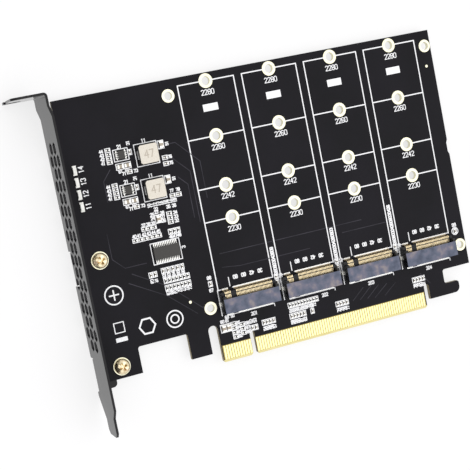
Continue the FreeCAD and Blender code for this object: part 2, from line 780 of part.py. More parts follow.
# Each bank: x and y of its first part, columns, rows, step across, step up, and whether the parts
# stand with their long side along Y.
CHIP_RESISTORS = [
    (-39.6, 79.5, 1, 4, 1.0, 1.4, False),
    (-39.6, 66.9, 1, 4, 1.0, 1.4, False),
    (-22.0, 54.4, 1, 3, 1.0, 1.5, False),
    (-36.3, 50.6, 6, 1, 1.8, 1.0, False),
    (-32.2, 53.9, 3, 1, 1.8, 1.0, False),
    (-22.9, 51.0, 3, 1, 1.5, 1.0, True),
    (-28.2, 34.2, 7, 1, 1.4, 1.0, True),
    (-28.2, 31.6, 7, 1, 1.4, 1.0, True),
    (-6.3, 8.2, 1, 4, 1.0, 1.6, False),
    (-3.0, 8.9, 1, 3, 1.0, 1.6, False),
    (16.7, 14.3, 10, 1, 1.22, 1.0, True),
]
CHIP_CAPACITORS = [
    (-31.8, 81.6, 1, 1, 1.0, 1.0, True),
    (-31.8, 69.0, 1, 1, 1.0, 1.0, True),
    (-33.2, 74.9, 1, 1, 1.0, 1.0, False),
    (-33.2, 62.3, 1, 1, 1.0, 1.0, False),
    (-19.4, 75.0, 1, 2, 1.0, 2.2, False),
    (-19.4, 63.4, 2, 1, 2.4, 1.0, False),
    (-33.2, 37.4, 2, 1, 1.6, 1.0, True),
    (-28.4, 37.9, 5, 1, 1.8, 1.0, True),
    (-12.0, 29.2, 1, 1, 1.0, 1.0, True),
    (0.6, 9.8, 2, 1, 1.5, 1.0, True),
    (5.4, 10.6, 4, 1, 1.3, 1.0, True),
    (16.6, 10.2, 5, 1, 1.3, 1.0, True),
    (25.2, 10.2, 1, 1, 1.0, 1.0, True),
    (35.7, 10.2, 4, 1, 1.3, 1.0, True),
    (69.0, 11.6, 4, 1, 1.3, 1.0, True),
    (13.6, 22.0, 1, 3, 1.0, 2.0, True),
    (38.6, 22.0, 1, 3, 1.0, 2.0, True),
    (63.6, 22.0, 1, 3, 1.0, 2.0, True),
    (90.2, 26.2, 1, 1, 1.0, 1.0, True),
]
POWER_CAPACITORS = [
    (-36.3, 77.3, 2, 1, 2.6, 1.0, False),
    (-36.3, 64.7, 2, 1, 2.6, 1.0, False),
    (-20.0, 82.0, 1, 1, 1.0, 1.0, True),
    (-20.0, 69.4, 1, 1, 1.0, 1.0, True),
    (-26.4, 56.4, 1, 1, 1.0, 1.0, True),
    (-10.4, 12.2, 2, 1, 1.9, 1.0, True),
]


def chip_parts(label, banks, long_side, short_side, high):
    """A group of like chip parts, each a separate block on the board."""
    long_side, short_side, high = value(long_side), value(short_side), value(high)
    blocks = []
    for x, y, columns, rows, step_x, step_y, turned in banks:
        across, up = (short_side, long_side) if turned else (long_side, short_side)
        for column in range(columns):
            for row in range(rows):
                corner = Vector(x + column * step_x - across / 2, y + row * step_y - up / 2, 0)
                blocks.append(Part.makeBox(across, up, high, corner))
    group = doc.addObject("Part::Feature", label)
    group.Label = label
    group.Shape = Part.makeCompound(blocks)
    group.Placement = Placement(Vector(-value(CARD_MIDDLE_X), -value(CARD_MIDDLE_Y), -value(CARD_BOTTOM_Z)),
                                Rotation())
    return group


# ---------------------------------------------------------------- the whole card

def build():
    parts = [circuit_board(), bracket(), bracket_screws()]
    parts.append(edge_contacts("edge_contacts_front", "0", False))
    parts.append(edge_contacts("edge_contacts_back", "-board_thick", True))
    for index in range(4):
        parts += [socket_housing(index), front_contacts(index), rear_contacts(index), hold_downs(index)]
        parts.append(status_lamp(index))
    for index in range(2):
        place = ("reg_x", f"reg_low + {index} * coil_step")
        parts += [power_coil(index), coil_clips(index)]
        parts.append(chip_body(f"regulator_{index + 1}", "reg_long", "reg_wide", "reg_high", place, 90))
        parts.append(chip_leads(f"regulator_leads_{index + 1}", "reg_wide", "4", place, 90))
    place = ("clock_x", "clock_y")
    parts.append(chip_body("clock_buffer", "clock_long", "clock_wide", "clock_high", place, 0))
    parts.append(chip_leads("clock_buffer_leads", "clock_wide", "14", place, 0))
    parts.append(chip_parts("chip_resistors", CHIP_RESISTORS, "small_long", "small_wide", "small_high"))
    parts.append(chip_parts("chip_capacitors", CHIP_CAPACITORS, "small_long", "small_wide", "small_high"))
    parts.append(chip_parts("power_capacitors", POWER_CAPACITORS, "large_long", "large_wide", "large_high"))
    doc.recompute()
    return parts


def write(parts):
    """Check every object, then write one file for each sub-part."""
    failed = [item.Name for item in doc.Objects if {"Invalid", "Error"} & set(item.State)]
    if failed:
        raise ValueError(f"not built: {failed}")
    for part in parts:
        if part.Shape.isNull() or not part.Shape.isValid():
            raise ValueError(f"{part.Label} has no valid shape")
    os.makedirs("parts", exist_ok=True)
    for part in parts:
        part.Shape.exportStep(f"parts/{part.Label}.step")


write(build())
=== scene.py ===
import json
import math
import bmesh
import bpy
from mathutils import Matrix, Vector


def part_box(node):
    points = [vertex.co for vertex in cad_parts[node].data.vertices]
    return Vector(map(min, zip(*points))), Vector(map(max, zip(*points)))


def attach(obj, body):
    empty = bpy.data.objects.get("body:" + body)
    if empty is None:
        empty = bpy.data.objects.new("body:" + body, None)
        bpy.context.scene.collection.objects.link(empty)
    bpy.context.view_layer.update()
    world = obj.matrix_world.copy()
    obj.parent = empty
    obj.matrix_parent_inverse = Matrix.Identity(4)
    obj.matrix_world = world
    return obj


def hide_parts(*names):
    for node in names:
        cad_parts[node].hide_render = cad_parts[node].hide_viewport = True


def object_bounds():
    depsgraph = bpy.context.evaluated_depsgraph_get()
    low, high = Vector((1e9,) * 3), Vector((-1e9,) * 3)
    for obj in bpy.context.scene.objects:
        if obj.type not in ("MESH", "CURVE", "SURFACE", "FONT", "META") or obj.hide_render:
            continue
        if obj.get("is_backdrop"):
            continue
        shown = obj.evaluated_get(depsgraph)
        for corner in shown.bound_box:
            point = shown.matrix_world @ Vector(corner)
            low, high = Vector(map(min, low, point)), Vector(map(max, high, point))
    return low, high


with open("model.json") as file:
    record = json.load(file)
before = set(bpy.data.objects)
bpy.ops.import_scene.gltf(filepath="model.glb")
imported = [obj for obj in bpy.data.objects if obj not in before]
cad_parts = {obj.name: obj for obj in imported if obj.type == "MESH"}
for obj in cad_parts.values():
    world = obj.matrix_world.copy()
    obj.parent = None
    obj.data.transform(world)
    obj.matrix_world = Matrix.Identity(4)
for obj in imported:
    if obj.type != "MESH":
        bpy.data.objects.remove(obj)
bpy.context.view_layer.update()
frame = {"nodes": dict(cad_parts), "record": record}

# ---------------------------------------------------------------- circuit board
# A four layer laminate of woven glass and epoxy, coated on both faces with black solder mask and
# then routed and drilled, so its milled edges and the connector's bevel show bare laminate.

board_low, board_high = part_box("circuit_board")
FACE = board_high.z         # component face
MM = 0.001


def linear(hex_colour):
    """A colour written as sRGB hex, in linear light."""
    parts = [int(hex_colour[i:i + 2], 16) / 255 for i in (1, 3, 5)]
    return [c / 12.92 if c <= 0.04045 else ((c + 0.055) / 1.055) ** 2.4 for c in parts] + [1.0]


def add_node(material, kind, settings=None, inputs=None):
    """Add one shader node, with its settings and with its inputs filled or linked."""
    node = material.node_tree.nodes.new(kind)
    for name, value in (settings or {}).items():
        setattr(node, name, value)
    for name, value in (inputs or {}).items():
        if isinstance(value, bpy.types.NodeSocket):
            material.node_tree.links.new(value, node.inputs[name])
        else:
            node.inputs[name].default_value = value
    return node


def start_material(name):
    """A material with only a surface shader, its own place coordinates and its face direction."""
    material = bpy.data.materials.new(name)
    material.use_nodes = True
    material.node_tree.nodes.clear()
    shader = add_node(material, "ShaderNodeBsdfPrincipled")
    add_node(material, "ShaderNodeOutputMaterial", inputs={"Surface": shader.outputs["BSDF"]})
    place = add_node(material, "ShaderNodeTexCoord")
    return material, shader, place


def link(material, source, shader, name):
    """Link one output to a shader's or a mix node's input."""
    material.node_tree.links.new(source, shader.inputs[name])


def stops(ramp, *colours):
    """Colours at places along a ramp."""
    elements = ramp.color_ramp.elements
    while len(elements) < len(colours):
        elements.new(0.5)
    for element, (position, colour) in zip(elements, colours):
        element.position = position
        element.color = linear(colour)


BARE_UP = 6.2 * MM          # the mask stops short of the fingers, this far up
BARE_PAST = 0.4 * MM        # and this far past the first and the last
MASK_EDGE = 0.1 * MM        # half the width over which it thins out
fingers_low, fingers_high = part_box("edge_contacts_front")
FINGERS_MIDDLE = (fingers_low.x + fingers_high.x) / 2
FINGERS_HALF = (fingers_high.x - fingers_low.x) / 2 + BARE_PAST


def solder_mask_board():
    """Liquid photo-imaged mask: black, satin, a little uneven where it flowed over copper, and bare
    straw-yellow laminate below it and on the milled edges."""
    material, shader, place = start_material("solder_mask_board")
    cloud = add_node(material, "ShaderNodeTexNoise", inputs={
        "Vector": place.outputs["Object"], "Scale": 1 / (28 * MM), "Detail": 3.0, "Roughness": 0.55})
    tint = add_node(material, "ShaderNodeValToRGB", inputs={"Fac": cloud.outputs["Fac"]})
    stops(tint, (0.35, "#0e0d12"), (0.7, "#15131a"))
    direction = add_node(material, "ShaderNodeSeparateXYZ", inputs={"Vector": place.outputs["Normal"]})
    spot = add_node(material, "ShaderNodeSeparateXYZ", inputs={"Vector": place.outputs["Object"]})
    upright = add_node(material, "ShaderNodeMath", {"operation": "ABSOLUTE"}, {
        0: direction.outputs["Z"]})
    level = add_node(material, "ShaderNodeMapRange", inputs={
        "Value": upright.outputs[0], "From Min": 0.96, "From Max": 0.995})
    below = add_node(material, "ShaderNodeMapRange", inputs={
        "Value": spot.outputs["Y"], "From Min": board_low.y + BARE_UP - MASK_EDGE,
        "From Max": board_low.y + BARE_UP + MASK_EDGE, "To Min": 1.0, "To Max": 0.0})
    beside = add_node(material, "ShaderNodeMath", {"operation": "COMPARE"}, {
        0: spot.outputs["X"], 1: FINGERS_MIDDLE, 2: FINGERS_HALF})
    strip = add_node(material, "ShaderNodeMath", {"operation": "MULTIPLY"}, {
        0: below.outputs[0], 1: beside.outputs[0]})
    coated = add_node(material, "ShaderNodeMath", {"operation": "SUBTRACT", "use_clamp": True}, {
        0: level.outputs[0], 1: strip.outputs[0]})
    milled = add_node(material, "ShaderNodeMapRange", inputs={
        "Value": upright.outputs[0], "From Min": 0.1, "From Max": 0.3})
    layers = add_node(material, "ShaderNodeMapping", inputs={
        "Vector": place.outputs["Object"], "Scale": (1 / (6 * MM), 1 / (6 * MM), 1 / (0.22 * MM))})
    glass = add_node(material, "ShaderNodeTexNoise", inputs={
        "Vector": layers.outputs[0], "Scale": 1.0, "Detail": 2.0})
    edge = add_node(material, "ShaderNodeValToRGB", inputs={"Fac": glass.outputs["Fac"]})
    stops(edge, (0.3, "#6f6450"), (0.7, "#a39878"))
    resin = add_node(material, "ShaderNodeValToRGB", inputs={"Fac": glass.outputs["Fac"]})
    stops(resin, (0.3, "#dccf8e"), (0.7, "#ebe0a8"))
    beneath = add_node(material, "ShaderNodeValToRGB", inputs={"Fac": glass.outputs["Fac"]})
    stops(beneath, (0.3, "#a8975c"), (0.7, "#bfae74"))
    routed = add_node(material, "ShaderNodeMix", {"data_type": "RGBA"}, {"Factor": milled.outputs[0]})
    link(material, edge.outputs[0], routed, 6)
    link(material, resin.outputs[0], routed, 7)
    bare = add_node(material, "ShaderNodeMix", {"data_type": "RGBA"}, {"Factor": level.outputs[0]})
    link(material, routed.outputs[2], bare, 6)
    link(material, beneath.outputs[0], bare, 7)
    colour = add_node(material, "ShaderNodeMix", {"data_type": "RGBA"}, {"Factor": coated.outputs[0]})
    link(material, bare.outputs[2], colour, 6)
    link(material, tint.outputs[0], colour, 7)
    link(material, colour.outputs[2], shader, "Base Color")
    peel = add_node(material, "ShaderNodeTexNoise", inputs={
        "Vector": place.outputs["Object"], "Scale": 1 / (0.9 * MM), "Detail": 2.0})
    shine = add_node(material, "ShaderNodeMapRange", inputs={
        "Value": peel.outputs["Fac"], "To Min": 0.38, "To Max": 0.5})
    link(material, shine.outputs[0], shader, "Roughness")
    bump = add_node(material, "ShaderNodeBump", inputs={
        "Strength": 0.06, "Distance": 0.05 * MM, "Height": peel.outputs["Fac"]})
    link(material, bump.outputs[0], shader, "Normal")
    shader.inputs["Specular IOR Level"].default_value = 0.12
    return material


def finish_node(name, material):
    """Give a CAD node its finish."""
    slots = frame["nodes"][name].data.materials
    slots.clear()
    slots.append(material)


finish_node("circuit_board", solder_mask_board())

# ---------------------------------------------------------------- plated rings and dots
# Copper rings on both faces, joined through each hole by its plated wall, and dipped in pale gold.
# The drives' screw posts go in the sixteen, a cover's in the outer four, the bracket's in two.

RING_OUTER = 2.65 * MM
SCREW_RING_OUTER = 3.2 * MM
COVER_RING_OUTER = 2.4 * MM
SCREW_BORE = 1.6 * MM
PLATING = 0.06 * MM
TURN_STEPS = 48
CAD_WELD = 0.002 * MM       # a CAD node's triangles are joined where their corners are this near
DOT_RADIUS = 0.55 * MM
DOT_TAPER = 0.95
DOT_STEPS = 24


def grained(name, size, detail, colours, roughness, metallic=0.0, specular=0.5):
    """A finish tinted by one fine grain, and roughened by it too where two roughnesses are given."""
    material, shader, place = start_material(name)
    grain = add_node(material, "ShaderNodeTexNoise", inputs={
        "Vector": place.outputs["Object"], "Scale": 1 / size, "Detail": detail})
    tint = add_node(material, "ShaderNodeValToRGB", inputs={"Fac": grain.outputs["Fac"]})
    stops(tint, *colours)
    link(material, tint.outputs[0], shader, "Base Color")
    if isinstance(roughness, tuple):
        shine = add_node(material, "ShaderNodeMapRange", inputs={
            "Value": grain.outputs["Fac"], "To Min": roughness[0], "To Max": roughness[1]})
        link(material, shine.outputs[0], shader, "Roughness")
    else:
        shader.inputs["Roughness"].default_value = roughness
    shader.inputs["Metallic"].default_value = metallic
    shader.inputs["Specular IOR Level"].default_value = specular
    return material


def new_piece(name, mesh_work, material, slot, *replaced):
    """Turn finished mesh work into a piece of the card."""
    bmesh.ops.recalc_face_normals(mesh_work, faces=mesh_work.faces)
    mesh = bpy.data.meshes.new(name)
    mesh_work.to_mesh(mesh)
    mesh_work.free()
    piece = bpy.data.objects.new(name, mesh)
    bpy.context.scene.collection.objects.link(piece)
    mesh.materials.append(material)
    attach(piece, "root")
    if replaced:
        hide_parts(*replaced)


def pattern_corners(mount):
    """The four holes of a rectangular fixing pattern."""
    centre = Vector(mount["pos_m"])
    half_x = mount["dims"]["spacing_x_mm"] * MM / 2
    half_y = mount["dims"]["spacing_y_mm"] * MM / 2
    return [centre + Vector((sx * half_x, sy * half_y, 0)) for sx in (-1, 1) for sy in (-1, 1)]


def turned(mesh_work, profile, centre, steps, closed=True):
    """Spin a profile of (radius, height) points about an upright axis."""
    points = [mesh_work.verts.new((centre.x + radius, centre.y, height)) for radius, height in profile]
    first = 0 if closed else 1
    edges = [mesh_work.edges.new((points[i - 1], points[i])) for i in range(first, len(points))]
    bmesh.ops.spin(mesh_work, geom=points + edges, cent=(centre.x, centre.y, 0), axis=(0, 0, 1),
                   angle=math.tau, steps=steps, use_merge=True)


def eyelet_profile(bore, outer, top, bottom):
    """A ring on each face and the plated wall that joins them, as (radius, height) points."""
    inside = bore - PLATING
    chamfer = outer - PLATING / 2
    tuck = PLATING / 4
    return [(inside, top + PLATING), (chamfer, top + PLATING), (outer, top), (bore, top - tuck),
            (bore, bottom + tuck), (outer, bottom), (chamfer, bottom - PLATING),
            (inside, bottom - PLATING)]


def solid_boxes(node):
    """The lowest and highest corner of each separate solid of a CAD node, from left to right."""
    copy = bmesh.new()
    copy.from_mesh(frame["nodes"][node].data)
    bmesh.ops.remove_doubles(copy, verts=copy.verts, dist=CAD_WELD)
    boxes = []
    unseen = set(copy.verts)
    while unseen:
        group = [unseen.pop()]
        for vertex in group:
            for edge in vertex.link_edges:
                other = edge.other_vert(vertex)
                if other in unseen:
                    unseen.remove(other)
                    group.append(other)
        corners = [[function(vertex.co[axis] for vertex in group) for axis in range(3)]
                   for function in (min, max)]
        boxes.append((Vector(corners[0]), Vector(corners[1])))
    copy.free()
    boxes.sort(key=lambda box: tuple(box[0]))
    return boxes


# Immersion gold over nickel: pale, slightly milky, brightest where the nickel is smooth.
gold = grained("gold_flash", 1.2 * MM, 4.0, ((0.3, "#dcd8bb"), (0.7, "#e9e5cf")), (0.28, 0.42), 1.0)
rings = bmesh.new()
for mount in frame["record"]["mounts"]:
    if mount["kind"] == "bolt_pattern":
        for centre in pattern_corners(mount):
            bore = mount["dims"]["hole_r_mm"] * MM
            outer = COVER_RING_OUTER if mount["name"] == "cover_holes" else RING_OUTER
            turned(rings, eyelet_profile(bore, outer, FACE, board_low.z), centre, TURN_STEPS)
SCREW_RING = [(SCREW_BORE, FACE), (SCREW_BORE, FACE + PLATING),
              (SCREW_RING_OUTER - PLATING, FACE + PLATING), (SCREW_RING_OUTER, FACE)]
screw_places = [(low + high) / 2 for low, high in solid_boxes("bracket_screws")]
for centre in screw_places:
    turned(rings, SCREW_RING, centre, TURN_STEPS)
new_piece("plated_rings", rings, gold, "gold_plate")

dots = bmesh.new()
DOT_PLACES = ((35.1, 24.6), (146.7, 90.6))
for across, up in DOT_PLACES:
    place = Vector((board_low.x + across * MM, board_low.y + up * MM, FACE + PLATING / 2))
    bmesh.ops.create_cone(dots, cap_ends=True, segments=DOT_STEPS, radius1=DOT_RADIUS,
                          radius2=DOT_RADIUS * DOT_TAPER, depth=PLATING,
                          matrix=Matrix.Translation(place))
new_piece("registration_dots", dots, gold, "gold_plate")

# ---------------------------------------------------------------- card edge contacts
# Hard gold plated fingers on both faces of the connector, one millimetre apart, worn pale by wiping.


def hard_gold():
    """Electroplated hard gold: richer yellow than the flash, satin from the rolled copper below."""
    material, shader, place = start_material("hard_gold")
    streaks = add_node(material, "ShaderNodeMapping", inputs={
        "Vector": place.outputs["Object"], "Scale": (1 / (0.5 * MM), 1 / (5 * MM), 1.0)})
    grain = add_node(material, "ShaderNodeTexNoise", inputs={
        "Vector": streaks.outputs[0], "Detail": 3.0})
    tint = add_node(material, "ShaderNodeValToRGB", inputs={"Fac": grain.outputs["Fac"]})
    stops(tint, (0.3, "#e8dc94"), (0.7, "#f5edb6"))
    link(material, tint.outputs[0], shader, "Base Color")
    shine = add_node(material, "ShaderNodeMapRange", inputs={
        "Value": grain.outputs["Fac"], "To Min": 0.26, "To Max": 0.4})
    link(material, shine.outputs[0], shader, "Roughness")
    shader.inputs["Metallic"].default_value = 1.0
    return material


finger_gold = hard_gold()
finish_node("edge_contacts_front", finger_gold)
finish_node("edge_contacts_back", finger_gold)

# ---------------------------------------------------------------- slot bracket
# One strip of cold rolled steel, blanked with its vents, folded, and powder coated glossy black.


def powder_coat():
    """Gloss powder coat: black face on, grey where light skims its half millimetre orange peel."""
    material, shader, place = start_material("powder_coat")
    grit = add_node(material, "ShaderNodeTexNoise", inputs={
        "Vector": place.outputs["Object"], "Scale": 1 / (0.5 * MM), "Detail": 4.0})
    cloud = add_node(material, "ShaderNodeTexNoise", inputs={
        "Vector": place.outputs["Object"], "Scale": 1 / (30 * MM), "Detail": 2.0})
    tint = add_node(material, "ShaderNodeValToRGB", inputs={"Fac": cloud.outputs["Fac"]})
    stops(tint, (0.3, "#0c0c0e"), (0.7, "#131215"))
    link(material, tint.outputs[0], shader, "Base Color")
    shine = add_node(material, "ShaderNodeMapRange", inputs={
        "Value": grit.outputs["Fac"], "To Min": 0.06, "To Max": 0.12})
    link(material, shine.outputs[0], shader, "Roughness")
    bump = add_node(material, "ShaderNodeBump", inputs={
        "Strength": 0.05, "Distance": 0.03 * MM, "Height": grit.outputs["Fac"]})
    link(material, bump.outputs[0], shader, "Normal")
    shader.inputs["Specular IOR Level"].default_value = 0.2
    return material


finish_node("bracket", powder_coat())

# ---------------------------------------------------------------- bracket screws
# Machine screws, cold headed and rolled, plated in pale yellow zinc.

HEAD_TOP = 1.9 * MM
HEAD_RADIUS = 2.8 * MM
THREAD_RADIUS = 1.5 * MM
SCREW_END = -3.95 * MM
RECESS_RIM = 1.9 * MM       # the dome's inner edge, where the crossed recess starts
RECESS_RIM_HIGH = 1.7 * MM
RECESS_LONG = 1.5 * MM
RECESS_HALF = 0.36 * MM
RECESS_DEEP = 1.1 * MM
RECESS_TAPER = 0.55         # its floor is this much of its mouth
RECESS_TURN = math.radians(20)
SCREW_WELD = 0.001 * MM     # joins the spun tip
HEAD_PROFILE = [(RECESS_RIM, RECESS_RIM_HIGH), (2.3 * MM, 1.45 * MM), (2.62 * MM, 1.08 * MM),
                (HEAD_RADIUS, 0.6 * MM), (HEAD_RADIUS, 0), (THREAD_RADIUS, 0),
                (THREAD_RADIUS, SCREW_END + 0.3 * MM), (1.2 * MM, SCREW_END), (0, SCREW_END)]


def crossed_recess(mesh_work, rim, centre, seat):
    """Close the dome with a cross, then push the cross down and inwards."""
    corners = []
    for quarter in range(4):
        turn = Matrix.Rotation(quarter * math.pi / 2 + RECESS_TURN, 3, "Z")
        for x, y in ((RECESS_LONG, -RECESS_HALF), (RECESS_LONG, RECESS_HALF),
                     (RECESS_HALF, RECESS_HALF)):
            place = turn @ Vector((x, y, 0)) + Vector((centre.x, centre.y, seat + HEAD_TOP))
            corners.append(mesh_work.verts.new(place))
    edges = [mesh_work.edges.new((corners[i - 1], corners[i])) for i in range(12)]
    bmesh.ops.bridge_loops(mesh_work, edges=rim + edges)
    walls = bmesh.ops.extrude_edge_only(mesh_work, edges=edges)["geom"]
    floor_verts = [item for item in walls if isinstance(item, bmesh.types.BMVert)]
    floor_edges = [edge for edge in mesh_work.edges if edge.is_boundary and edge.verts[0] in floor_verts]
    middle = Matrix.Translation((-centre.x, -centre.y, 0))
    bmesh.ops.translate(mesh_work, verts=floor_verts, vec=(0, 0, -RECESS_DEEP))
    bmesh.ops.scale(mesh_work, verts=floor_verts, vec=(RECESS_TAPER, RECESS_TAPER, 1), space=middle)
    bmesh.ops.edgeloop_fill(mesh_work, edges=floor_edges)


# Yellow chromate over zinc: pale gold, brownish in patches and faintly pink across the head.
zinc = grained("yellow_zinc", 1.6 * MM, 3.0, ((0.3, "#c4ad84"), (0.5, "#f0e2be"), (0.7, "#d8bd9f")),
               (0.2, 0.34), 1.0)
screws = bmesh.new()
for centre in screw_places:
    seat = FACE + PLATING
    screw = bmesh.new()
    profile = [(radius, seat + high) for radius, high in HEAD_PROFILE]
    turned(screw, profile, centre, TURN_STEPS, closed=False)
    bmesh.ops.remove_doubles(screw, verts=screw.verts, dist=SCREW_WELD)
    crossed_recess(screw, [edge for edge in screw.edges if edge.is_boundary], centre, seat)
    bmesh.ops.recalc_face_normals(screw, faces=screw.faces)
    finished = bpy.data.meshes.new("screw")
    screw.to_mesh(finished)
    screws.from_mesh(finished)
    bpy.data.meshes.remove(finished)
    screw.free()
new_piece("domed_screws", screws, zinc, "screw_steel", "bracket_screws")

# ---------------------------------------------------------------- M.2 sockets
# Key M sockets moulded in black glass-filled nylon, with a smooth flat top that the placing machine
# lifts them by; the blue-grey on that top is a painted sheen, the room's reflection painted in.
# Their solder clips, contacts and the pads below them are tinned or gold plated.


drive_data = [Vector(mount["pos_m"]) for mount in frame["record"]["mounts"]
              if mount["name"].startswith("m2_socket")]
SHEEN_END = drive_data[0].y + 1.9 * MM      # the painted sheen stops here, and the black cheeks run on
SOCKET_TOP = FACE + 4.0 * MM
SHEEN_FADE = 0.1 * MM


def moulded_nylon():
    """Black glossy moulding: a mottled blue-grey painted sheen on the flat top short of the cheeks, over
    plain black sides and cheeks.
    """
    material, shader, place = start_material("moulded_nylon")
    direction = add_node(material, "ShaderNodeSeparateXYZ", inputs={"Vector": place.outputs["Normal"]})
    spot = add_node(material, "ShaderNodeSeparateXYZ", inputs={"Vector": place.outputs["Object"]})
    # Where the painted sheen goes: faces turned up at the top, short of the cheeks.
    raised = add_node(material, "ShaderNodeMapRange", inputs={
        "Value": spot.outputs["Z"], "From Min": SOCKET_TOP - SHEEN_FADE,
        "From Max": SOCKET_TOP + SHEEN_FADE})
    behind = add_node(material, "ShaderNodeMapRange", inputs={
        "Value": spot.outputs["Y"], "From Min": SHEEN_END, "From Max": SHEEN_END + SHEEN_FADE,
        "To Min": 1.0, "To Max": 0.0})
    facing_up = add_node(material, "ShaderNodeMapRange", inputs={
        "Value": direction.outputs["Z"], "From Min": 0.9, "From Max": 0.99})
    high = add_node(material, "ShaderNodeMath", {"operation": "MULTIPLY"}, {
        0: raised.outputs[0], 1: facing_up.outputs[0]})
    top = add_node(material, "ShaderNodeMath", {"operation": "MULTIPLY"}, {
        0: high.outputs[0], 1: behind.outputs[0]})
    cloud = add_node(material, "ShaderNodeTexNoise", inputs={
        "Vector": place.outputs["Object"], "Scale": 1 / (3.5 * MM), "Detail": 3.0, "Roughness": 0.5})
    # Painted sheen: the room's reflection on the glossy top, painted in as a mottled blue-grey colour.
    sheen = add_node(material, "ShaderNodeValToRGB", inputs={"Fac": cloud.outputs["Fac"]})
    stops(sheen, (0.3, "#444b5e"), (0.46, "#5a6073"), (0.56, "#6c6a7b"), (0.68, "#8c8486"))
    colour = add_node(material, "ShaderNodeMix", {"data_type": "RGBA"}, {"Factor": top.outputs[0]})
    colour.inputs[6].default_value = linear("#0d0d11")
    link(material, sheen.outputs[0], colour, 7)
    link(material, colour.outputs[2], shader, "Base Color")
    shine = add_node(material, "ShaderNodeMapRange", inputs={
        "Value": cloud.outputs["Fac"], "To Min": 0.3, "To Max": 0.45})
    link(material, shine.outputs[0], shader, "Roughness")
    shader.inputs["Specular IOR Level"].default_value = 0.3
    return material


def add_slab(mesh_work, low, high):
    """A thin closed block between two corners."""
    size = Vector(high) - Vector(low)
    centre = (Vector(high) + Vector(low)) / 2
    matrix = Matrix.Translation(centre) @ Matrix.Diagonal((*size, 1))
    bmesh.ops.create_cube(mesh_work, size=1, matrix=matrix)


PAD_LIFT = 0.04 * MM
PAD_PAST_FOOT = 0.45 * MM
PAD_UNDER_FOOT = 0.5 * MM
HALF_PAD = 0.17 * MM
RAIL_BACK = 3.25 * MM       # a thin black bar across the contacts, over the dark line between their two bright bands
RAIL_FRONT = 3.55 * MM
RAIL_LOW = 2.22 * MM
RAIL_HIGH = 2.34 * MM

nylon = moulded_nylon()
# Matte tin over copper: bright, and greyer where the solder has wetted it.
tin = grained("tin_finish", 0.8 * MM, 3.0, ((0.3, "#dddcd8"), (0.7, "#f7f6f2")), (0.3, 0.48), 1.0)
# Thin gold over phosphor bronze, a redder yellow than the card's own fingers.
contact_gold = grained("spring_gold", 0.7 * MM, 2.0, ((0.3, "#dfc79a"), (0.7, "#f3e4c0")),
                       (0.24, 0.36), 1.0)
pads = bmesh.new()
rails = bmesh.new()
for number, datum in enumerate(drive_data, 1):
    finish_node(f"m2_socket_{number}", nylon)
    finish_node(f"m2_hold_downs_{number}", tin)
    finish_node(f"m2_front_contacts_{number}", contact_gold)
    finish_node(f"m2_rear_contacts_{number}", tin)
    front = solid_boxes(f"m2_front_contacts_{number}")
    for low, high in front:
        middle = (low.x + high.x) / 2
        add_slab(pads, (middle - HALF_PAD, high.y - PAD_UNDER_FOOT, FACE),
                 (middle + HALF_PAD, high.y + PAD_PAST_FOOT, FACE + PAD_LIFT))
    for low, high in solid_boxes(f"m2_rear_contacts_{number}"):
        middle = (low.x + high.x) / 2
        add_slab(pads, (middle - HALF_PAD, low.y - PAD_PAST_FOOT, FACE),
                 (middle + HALF_PAD, low.y + PAD_UNDER_FOOT, FACE + PAD_LIFT))
    left = min(low.x for low, high in front) - HALF_PAD
    right = max(high.x for low, high in front) + HALF_PAD
    add_slab(rails, (left, datum.y + RAIL_BACK, FACE + RAIL_LOW),
             (right, datum.y + RAIL_FRONT, FACE + RAIL_HIGH))
new_piece("socket_pads", pads, tin, "tin_plate")
new_piece("contact_rails", rails, nylon, "socket_moulding")

# ---------------------------------------------------------------- power inductors
# Coils pressed inside blocks of iron powder, flat on top, with tinned ends folded under them.
# Their tops are painted pale, a painted highlight for the light they reflect.


def pressed_powder():
    """Dark pressed powder, with a pale grey-beige painted highlight on every face turned up."""
    material, shader, place = start_material("pressed_powder")
    direction = add_node(material, "ShaderNodeSeparateXYZ", inputs={"Vector": place.outputs["Normal"]})
    # Painted highlight: faces turned up get the pale colour, for the light they reflect.
    top = add_node(material, "ShaderNodeMapRange", inputs={
        "Value": direction.outputs["Z"], "From Min": 0.6, "From Max": 0.9})
    grain = add_node(material, "ShaderNodeTexNoise", inputs={
        "Vector": place.outputs["Object"], "Scale": 1 / (0.35 * MM), "Detail": 4.0})
    painted_highlight = add_node(material, "ShaderNodeValToRGB", inputs={"Fac": grain.outputs["Fac"]})
    stops(painted_highlight, (0.3, "#d6cec0"), (0.7, "#e8e2d7"))
    colour = add_node(material, "ShaderNodeMix", {"data_type": "RGBA"}, {"Factor": top.outputs[0]})
    colour.inputs[6].default_value = linear("#1d1c1b")
    link(material, painted_highlight.outputs[0], colour, 7)
    link(material, colour.outputs[2], shader, "Base Color")
    shader.inputs["Roughness"].default_value = 0.62
    bump = add_node(material, "ShaderNodeBump", inputs={
        "Strength": 0.2, "Distance": 0.05 * MM, "Height": grain.outputs["Fac"]})
    link(material, bump.outputs[0], shader, "Normal")
    return material


powder = pressed_powder()
for number in (1, 2):
    finish_node(f"inductor_{number}", powder)
    finish_node(f"inductor_terminals_{number}", tin)

# ---------------------------------------------------------------- regulators and clock buffer
# Chips moulded in black epoxy, with tinned gull wing leads soldered to the board.


def moulded_epoxy():
    """Filled epoxy: dark neutral grey, matt from the sparked mould."""
    material, shader, place = start_material("moulded_epoxy")
    grain = add_node(material, "ShaderNodeTexNoise", inputs={
        "Vector": place.outputs["Object"], "Scale": 1 / (0.25 * MM), "Detail": 4.0})
    tint = add_node(material, "ShaderNodeValToRGB", inputs={"Fac": grain.outputs["Fac"]})
    stops(tint, (0.3, "#2b2927"), (0.7, "#3c3a37"))
    link(material, tint.outputs[0], shader, "Base Color")
    shader.inputs["Roughness"].default_value = 0.55
    bump = add_node(material, "ShaderNodeBump", inputs={
        "Strength": 0.15, "Distance": 0.03 * MM, "Height": grain.outputs["Fac"]})
    link(material, bump.outputs[0], shader, "Normal")
    return material


